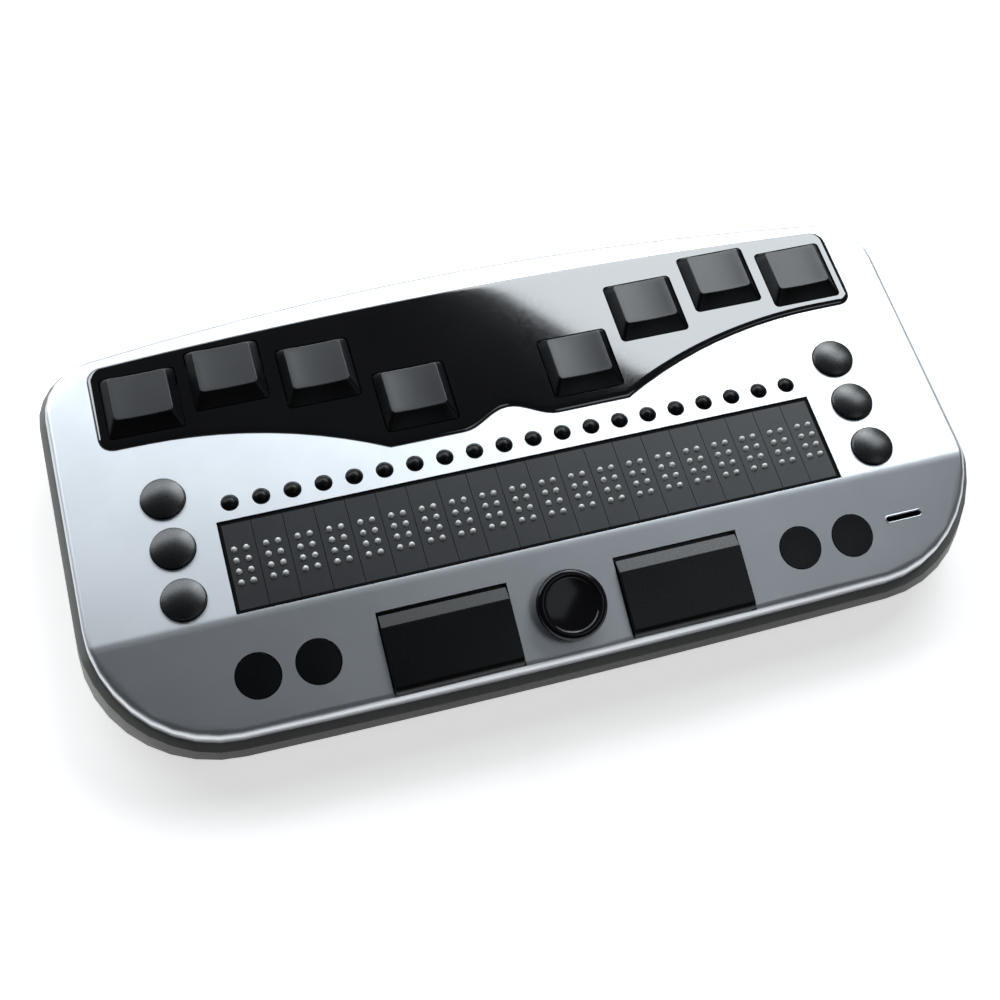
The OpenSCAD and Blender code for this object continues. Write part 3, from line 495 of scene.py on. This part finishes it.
for number in (1, 2, 3, 4):
    x = (-1 if number < 3 else 1) * FRONT_X + (-1 if number % 2 else 1) * FRONT_PITCH / 2
    shape = round_key(FRONT_D, FRONT_RISE, FRONT_DOME, tilted_stem(FRONT_S))
    node = "front_key_%d" % number
    piece(node + "_cap", moved(shape, on_slope(x, FRONT_S)), node, BUTTON, [node])


# Dot pins, the twenty of one dot number in one piece

def pin_part():
    foot = CAP_TOP - CAP_T - PIN_HOLD
    profile = [(0, foot), (DOT_D / 2, foot), (DOT_D / 2, CAP_TOP)]
    tip = dome(DOT_TIP_R, DOT_TIP, CAP_TOP + DOT_RISE, TIP_STEPS)
    return revolve(profile + tip, PIN_SIDES)


for number, (row, column) in enumerate(zip(DOT_ROWS, DOT_COLUMNS), 1):
    pin_x, pin_y = column * DOT_PITCH / 2, STRIP_Y + (1.5 - row) * DOT_PITCH
    pins = [shifted(pin_part(), cell_x(c) + pin_x, pin_y) for c in range(1, CELLS + 1)]
    node = "dot_%d_pins" % number
    piece(node + "_tips", joined(pins), node, PIN, [node])


def stick_part():
    """The joystick's neck, its knob with a beaded rim round a dish, and its gimbal pin."""
    top = STICK_LIFT + STICK_T
    bead = STICK_T / 2
    bead_x = STICK_D / 2 - bead
    foot = STICK_PIVOT - NECK_BELOW_PIVOT
    rim = arc(bead_x, top - bead, bead, 90, DISH_RIM_ANGLE, DISH_RIM_STEPS)
    dish_r, dish_z = rim[-1]
    floor_z = top - STICK_DISH
    profile = [(0, foot), (NECK_D / 2, foot), (NECK_D / 2, STICK_LIFT)]
    profile += arc(bead_x, STICK_LIFT + bead, bead, -90, 0, BEAD_STEPS)
    profile += arc(bead_x, top - bead, bead, 0, 90, BEAD_STEPS)[1:-1]
    profile += rim
    for k in range(DISH_STEPS - 1, -1, -1):
        t = k / DISH_STEPS
        profile.append((dish_r * t, floor_z + (dish_z - floor_z) * t ** 2))
    pin_r = STICK_PIN_D / 2
    pin = revolve([(0, -RING_R), (pin_r, -RING_R), (pin_r, RING_R), (0, RING_R)], PIN_SIDES)
    pin = shifted(moved(pin, Matrix.Rotation(math.pi / 2, 4, "X")), 0, 0, STICK_PIVOT)
    return moved(joined([revolve(profile, KNOB_SIDES), pin]), on_slope(0, STICK_S))


piece("joystick_knob", stick_part(), "joystick_cap", KNOB, ["joystick_cap"])


# Space bars

def across_slope(outline, half):
    """A solid with an outline of (distance down the slope, height), a half width to each side."""
    return loft([[(x, -s, h) for s, h in outline] for x in (-half, half)])


def bar_part():
    """Top with a bevelled rear and a rounded nose, flange and stem, from the ridge."""
    nose = [
        (BAR_FACE + BAR_NOSE * math.sin(a), NOSE_FOOT + (BAR_RISE - NOSE_FOOT) * math.cos(a))
        for a in QUARTER_TURN
    ]
    outline = [(BAR_S, BAR_UNDER), (BAR_S, BAR_REAR), (BAR_S + BAR_BEVEL, BAR_RISE)] + nose
    outline += [(BAR_FRONT, NOSE_UNDER), (BAR_BODY, NOSE_UNDER), (BAR_BODY, BAR_UNDER)]
    flange_rear, flange_top = BAR_S - BAR_REAR_GAP - FLANGE_W, BAR_UNDER + FLANGE_T
    flange = [
        (flange_rear, BAR_UNDER),
        (flange_rear, flange_top),
        (BAR_BODY, flange_top),
        (BAR_BODY, BAR_UNDER),
    ]
    stem_r, stem_s = STEM_D / 2, (BAR_S + BAR_FACE) / 2
    stem_end = tilted_stem(stem_s)
    stem = [(0, stem_end), (stem_r, stem_end), (stem_r, BAR_UNDER), (0, BAR_UNDER)]
    return joined([
        across_slope(outline, BAR_W / 2),
        across_slope(flange, BAR_W / 2 + FLANGE_W),
        shifted(revolve(stem, STEM_SIDES), 0, -stem_s),
    ])


for side, word in SIDES:
    node = word + "_space_bar"
    shape = moved(bar_part(), on_slope(side * BAR_X, 0))
    bar = piece(node + "_cap", shape, node, BUTTON, [node], sharp=BAR_ANGLE)
    rounding = bar.modifiers.new("rounded_edges", "BEVEL")
    rounding.width = BAR_EDGE * MM
    rounding.segments = BAR_EDGE_STEPS
    rounding.limit_method = "ANGLE"
    rounding.angle_limit = math.radians(BAR_ANGLE)
    rounding.harden_normals = True


# Key panel

def panel_outline(gap, rear_gap):
    """The panel seen from above, drawn in by negative gaps at the front and sides and at the rear,
    counter-clockwise from its front middle."""
    bow_v = PANEL_REAR - PANEL_BOW_R
    corner_x = PANEL_W / 2 - PANEL_CORNER
    corner_v = bow_v + math.sqrt((PANEL_BOW_R - PANEL_CORNER) ** 2 - corner_x ** 2)
    bow_start = math.degrees(math.atan2(corner_v - bow_v, corner_x))
    shoulder_r = SHOULDER_R - gap
    knee = math.degrees(math.asin((PANEL_FRONT - PANEL_SHOULDER + shoulder_r) / shoulder_r))
    half = []
    for k in range(ARCH_STEPS + 1):
        t = k / ARCH_STEPS
        rise = ARCH_H * (1 + math.cos(math.pi * t)) / 2
        half.append((ARCH_W / 2 * t, PANEL_FRONT - gap + rise))
    half += arc(
        SHOULDER_X, PANEL_SHOULDER - SHOULDER_R, shoulder_r, 180 - knee, 90, SHOULDER_STEPS)
    half += arc(
        corner_x, PANEL_SHOULDER + PANEL_CORNER, PANEL_CORNER + gap, -90, 0, PANEL_CORNER_STEPS)
    for k in range(PANEL_CORNER_STEPS):
        t = k / PANEL_CORNER_STEPS
        a, r = math.radians(bow_start * t), PANEL_CORNER + gap + (rear_gap - gap) * t
        half.append((corner_x + r * math.cos(a), corner_v + r * math.sin(a)))
    half += arc(0, bow_v, PANEL_BOW_R + rear_gap, bow_start, 90, BOW_STEPS)
    return half + [(-x, v) for x, v in half[-2:0:-1]]


def panel_part():
    """The plate: a flat top with key openings, a rolled outer edge and straight walls in the
    openings."""
    holes = []
    for i in range(1, KEY_COUNT + 1):
        x, v = key_place(i)
        opening = key_outline(KEY_GAP, KEY_CORNER + KEY_GAP)
        holes.append([(x + dx, v + dv) for dx, dv in opening])
    rolled = []
    for a in QUARTER_TURN:
        inset = math.sin(a) - 1
        outline = panel_outline(PANEL_ROLL * inset, PANEL_REAR_ROLL * inset)
        rolled.append(raised(outline, PANEL_TOP - PANEL_RISE * (1 - math.cos(a))))
    flat, full = panel_outline(-PANEL_ROLL, -PANEL_REAR_ROLL), panel_outline(0, 0)
    parts = [filled([flat] + holes, PANEL_TOP, True), filled([full] + holes, PANEL_BOTTOM, False)]
    parts.append(band([raised(full, PANEL_BOTTOM)] + rolled[::-1]))
    parts += [band([raised(hole, PANEL_TOP), raised(hole, PANEL_BOTTOM)]) for hole in holes]
    return shifted(joined(parts), 0, RIDGE_Y)


panel = piece("key_panel_plate", panel_part(), "case", GLOSS, ["key_panel"])
seams = bmesh.new()
seams.from_mesh(panel.data)
bmesh.ops.remove_doubles(seams, verts=seams.verts, dist=PANEL_WELD * MM)
seams.to_mesh(panel.data)
seams.free()
panel.data.set_sharp_from_angle(angle=math.radians(FLAT_ANGLE))
keep_flats_flat(panel)


# Trim of the cover, and painted shade round the strip of cells

def gap_shade_part():
    """A ring of painted shade: black standing for the shadow in the gap round the strip of cells,
    over the caps' edges and down the wall of its window.
    """
    rings = []
    for drawn_in, lift in (
        (GAP_SHADE_STEP, -GAP_SHADE_DEPTH), (GAP_SHADE_STEP, GAP_SHADE_STEP), (GAP_SHADE_W, GAP_SHADE_STEP), (GAP_SHADE_W, -GAP_SHADE_STEP)
    ):
        x, y = STRIP_W / 2 + WINDOW_GAP - drawn_in, CAP_D / 2 + WINDOW_GAP - drawn_in
        rings.append(raised([(x, y), (-x, y), (-x, -y), (x, -y)], CAP_TOP + lift))
    return shifted(band(rings), 0, STRIP_Y)


def lip_part():
    """The thin raised lip round the slit in the slope."""
    rings = []
    for grow, lift in SLIT_LIP:
        w, h, r = SLIT_W + 2 * grow, SLIT_H + 2 * grow, SLIT_H / 2 + grow - SLIT_END_FLAT
        rings.append(raised(rounded_outline(w, h, r), lift))
    return moved(band(rings), on_slope(SLIT_X, SLIT_S))


# A black ring of painted shade stands for the shadow in the gap round the strip of cells
piece("strip_gap_shade", gap_shade_part(), "case", GAP_SHADE)
piece("slit_lip", lip_part(), "case", SILVER, sharp=LIP_ANGLE)


# CAD nodes that are shown as they are

def smooth_modifier():
    """Geometry nodes that weld a CAD mesh's seams and shade it smooth where it is nearly flat."""
    group = bpy.data.node_groups.new("weld_and_smooth", "GeometryNodeTree")
    group.interface.new_socket("Geometry", in_out="INPUT", socket_type="NodeSocketGeometry")
    group.interface.new_socket("Geometry", in_out="OUTPUT", socket_type="NodeSocketGeometry")
    start = group.nodes.new("NodeGroupInput")
    end = group.nodes.new("NodeGroupOutput")
    weld = group.nodes.new("GeometryNodeMergeByDistance")
    weld.inputs["Distance"].default_value = CAD_WELD * MM
    angle = group.nodes.new("GeometryNodeInputMeshEdgeAngle")
    flat = group.nodes.new("FunctionNodeCompare")
    flat.data_type = "FLOAT"
    flat.operation = "LESS_THAN"
    flat.inputs["B"].default_value = math.radians(FLAT_ANGLE)
    faces = group.nodes.new("GeometryNodeSetShadeSmooth")
    faces.domain = "FACE"
    edges = group.nodes.new("GeometryNodeSetShadeSmooth")
    edges.domain = "EDGE"
    group.links.new(start.outputs[0], weld.inputs["Geometry"])
    group.links.new(weld.outputs["Geometry"], faces.inputs["Geometry"])
    group.links.new(faces.outputs["Geometry"], edges.inputs["Geometry"])
    group.links.new(angle.outputs["Unsigned Angle"], flat.inputs["A"])
    group.links.new(flat.outputs["Result"], edges.inputs["Shade Smooth"])
    group.links.new(edges.outputs["Geometry"], end.inputs[0])
    return group


SMOOTH = smooth_modifier()
for node, finish in {
    "top_cover": SILVER,
    "bottom_cover": BASE,
    "cell_caps": CELL,
    "piezo_modules": MODULE,
    "main_board": BOARD,
    "battery_pack": FOIL,
    "usb_socket": STEEL,
    "rubber_feet": RUBBER,
    "joystick_plunger": MODULE,
    "joystick_ring": STEEL,
}.items():
    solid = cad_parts[node]
    solid.data.materials.clear()
    solid.data.materials.append(finish)
    solid.modifiers.new("weld_and_smooth", "NODES").node_group = SMOOTH
    keep_flats_flat(solid)


# Case screws in their seats under the base

def screw_part(x, y):
    """A pan head, looking down, and its shank."""
    low, high = FOOT_H + HEAD_SINK, FOOT_H + HEAD_H
    profile = [(0, low)] + [(HEAD_R * share, low + up) for share, up in HEAD_ROUND]
    profile += [(HEAD_R, high), (SHANK_R, high), (SHANK_R, high + SHANK_L)]
    profile.append((0, high + SHANK_L + SHANK_TIP))
    return shifted(revolve(profile, SCREW_SIDES), x, y)


def recess_cutter(name, x, y, turn):
    """Two crossed blocks at a screw's face."""
    cross = bmesh.new()
    for arm in (0, 90):
        block = bmesh.ops.create_cube(cross, size=1)["verts"]
        bmesh.ops.scale(cross, vec=RECESS_SIZE, verts=block)
        spin = Matrix.Rotation(math.radians(arm + turn), 3, "Z")
        bmesh.ops.rotate(cross, cent=(0, 0, 0), matrix=spin, verts=block)
    bmesh.ops.scale(cross, vec=(MM, MM, MM), verts=cross.verts)
    place = (x * MM, y * MM, (FOOT_H + HEAD_SINK) * MM)
    bmesh.ops.translate(cross, vec=place, verts=cross.verts)
    mesh = bpy.data.meshes.new(name)
    cross.to_mesh(mesh)
    cross.free()
    cutter = bpy.data.objects.new(name, mesh)
    bpy.context.scene.collection.objects.link(cutter)
    return cutter


def case_screw(number, x, y):
    """A screw with a crossed recess, cut and then applied to its mesh."""
    name = "case_screw_%d" % number
    screw = piece(name, screw_part(x, y), "case", STEEL)
    cutter = recess_cutter("recess_%d" % number, x, y, RECESS_TURN * number)
    cut = screw.modifiers.new("recess", "BOOLEAN")
    cut.operation = "DIFFERENCE"
    cut.solver = "EXACT"
    cut.use_self = True
    cut.object = cutter
    bpy.context.view_layer.update()
    applied = screw.evaluated_get(bpy.context.evaluated_depsgraph_get())
    cut_mesh = bpy.data.meshes.new_from_object(applied)
    screw.modifiers.clear()
    screw.data = cut_mesh
    bpy.data.objects.remove(cutter)


SCREWS = [(side * x, RIDGE_Y + v) for side, _ in SIDES for x, v in SCREW_PLACES]
for number, (x, y) in enumerate(SCREWS, 1):
    case_screw(number, x, y)


# Studio, in metres
FLOOR_HALF, FLOOR_COLOR, FLOOR_GLOW = 3.0, (0.92, 0.90, 0.885, 1), 0.62
LIGHT_COLOR = (0.90, 0.96, 1.0)
# Azimuth in degrees, distance, low, high, left, right and radiance of each light
WINDOWS = {
    "rear_window": (-2, 1.2, 0.57, 1.5, -1.64, 1.09, 3.9),
    "right_window": (50, 1.2, 0.85, 1.86, -0.75, 0.35, 4.6),
    "side_fill": (130, 0.5, 0.7, 1.5, -0.25, 0.25, 0.7),
}
# The sky's colours by the height of the direction, from pale at the horizon to dark above
SKY = (
    (0.05, (0.60, 0.61, 0.63, 1)),
    (0.1, (0.05, 0.051, 0.053, 1)),
    (0.6, (0.025, 0.026, 0.028, 1)),
)


def floor_material():
    """A pale floor that takes shadows, and glows for camera, glossy and transmission rays."""
    m = bpy.data.materials.new("floor_white")
    m.use_nodes = True
    nodes, links = m.node_tree.nodes, m.node_tree.links
    nodes.remove(nodes["Principled BSDF"])
    matt = nodes.new("ShaderNodeBsdfDiffuse")
    matt.inputs["Color"].default_value = FLOOR_COLOR
    glow = nodes.new("ShaderNodeEmission")
    path = nodes.new("ShaderNodeLightPath")
    seen = nodes.new("ShaderNodeMath")
    seen.operation = "ADD"
    through = nodes.new("ShaderNodeMath")
    through.operation = "ADD"
    through.use_clamp = True
    level = nodes.new("ShaderNodeMath")
    level.operation = "MULTIPLY"
    level.inputs[1].default_value = FLOOR_GLOW
    both = nodes.new("ShaderNodeAddShader")
    links.new(path.outputs["Is Camera Ray"], seen.inputs[0])
    links.new(path.outputs["Is Glossy Ray"], seen.inputs[1])
    links.new(seen.outputs[0], through.inputs[0])
    links.new(path.outputs["Is Transmission Ray"], through.inputs[1])
    links.new(through.outputs[0], level.inputs[0])
    links.new(level.outputs[0], glow.inputs["Strength"])
    links.new(matt.outputs[0], both.inputs[0])
    links.new(glow.outputs[0], both.inputs[1])
    links.new(both.outputs[0], nodes["Material Output"].inputs["Surface"])
    return m


def stage_floor():
    mesh = bpy.data.meshes.new("floor")
    h = FLOOR_HALF
    mesh.from_pydata(raised([(-h, -h), (h, -h), (h, h), (-h, h)], 0), [], [(0, 1, 2, 3)])
    floor = bpy.data.objects.new("floor", mesh)
    bpy.context.scene.collection.objects.link(floor)
    mesh.materials.append(floor_material())


def window(name, azimuth, distance, low, high, left, right, radiance):
    """An upright soft light. It stands a distance away at an azimuth, in degrees from the rear
    towards the right, and reaches from low to high and from left to right as seen from the
    object."""
    a = math.radians(azimuth)
    out = Vector((math.sin(a), math.cos(a), 0))
    across = Vector((math.cos(a), -math.sin(a), 0))
    light = bpy.data.lights.new(name, "AREA")
    light.shape = "RECTANGLE"
    light.size, light.size_y = right - left, high - low
    light.color = LIGHT_COLOR
    light.energy = radiance * math.pi * light.size * light.size_y
    obj = bpy.data.objects.new(name, light)
    bpy.context.scene.collection.objects.link(obj)
    middle = Vector((0, 0, (low + high) / 2))
    obj.location = out * distance + across * (left + right) / 2 + middle
    obj.rotation_euler = out.to_track_quat("Z", "Y").to_euler()


def studio_world():
    world = bpy.data.worlds.new("studio")
    bpy.context.scene.world = world
    world.use_nodes = True
    nodes, links = world.node_tree.nodes, world.node_tree.links
    sky = nodes["Background"]
    where = nodes.new("ShaderNodeTexCoord")
    axis = nodes.new("ShaderNodeSeparateXYZ")
    ramp = nodes.new("ShaderNodeValToRGB")
    links.new(where.outputs["Generated"], axis.inputs[0])
    links.new(axis.outputs["Z"], ramp.inputs["Fac"])
    elements = ramp.color_ramp.elements
    for element, (position, color) in zip(elements, SKY):
        element.position = position
        element.color = color
    elements.new(SKY[-1][0]).color = SKY[-1][1]
    links.new(ramp.outputs["Color"], sky.inputs["Color"])
    sky.inputs["Strength"].default_value = 1.0


stage_floor()
for name, measures in WINDOWS.items():
    window(name, *measures)
studio_world()

# Camera fitted to the photograph: its place in millimetres, the turn from the frame to the
# picture's axes (right, down, away) as a vector along its axis in radians, and its focal length
# as a share of the picture's width
CAMERA_PLACE = (-66.704, -136.374, 286.2)
CAMERA_TURN = Vector((2.655, -0.348, 0.201))
CAMERA_FOCUS, SENSOR_W, CLIP_START = 1.4563, 36.0, 0.01


def photo_camera():
    camera = bpy.data.cameras.new("camera")
    camera.sensor_width = SENSOR_W
    camera.lens = CAMERA_FOCUS * SENSOR_W
    camera.clip_start = CLIP_START
    eye = bpy.data.objects.new("camera", camera)
    bpy.context.scene.collection.objects.link(eye)
    right, down, away = Matrix.Rotation(CAMERA_TURN.length, 3, CAMERA_TURN.normalized())
    axes = Matrix((right, -down, -away)).transposed()
    eye.matrix_world = Matrix.Translation(Vector(CAMERA_PLACE) * MM) @ axes.to_4x4()
    bpy.context.scene.camera = eye


photo_camera()
bpy.context.scene.view_settings.view_transform = "Standard"
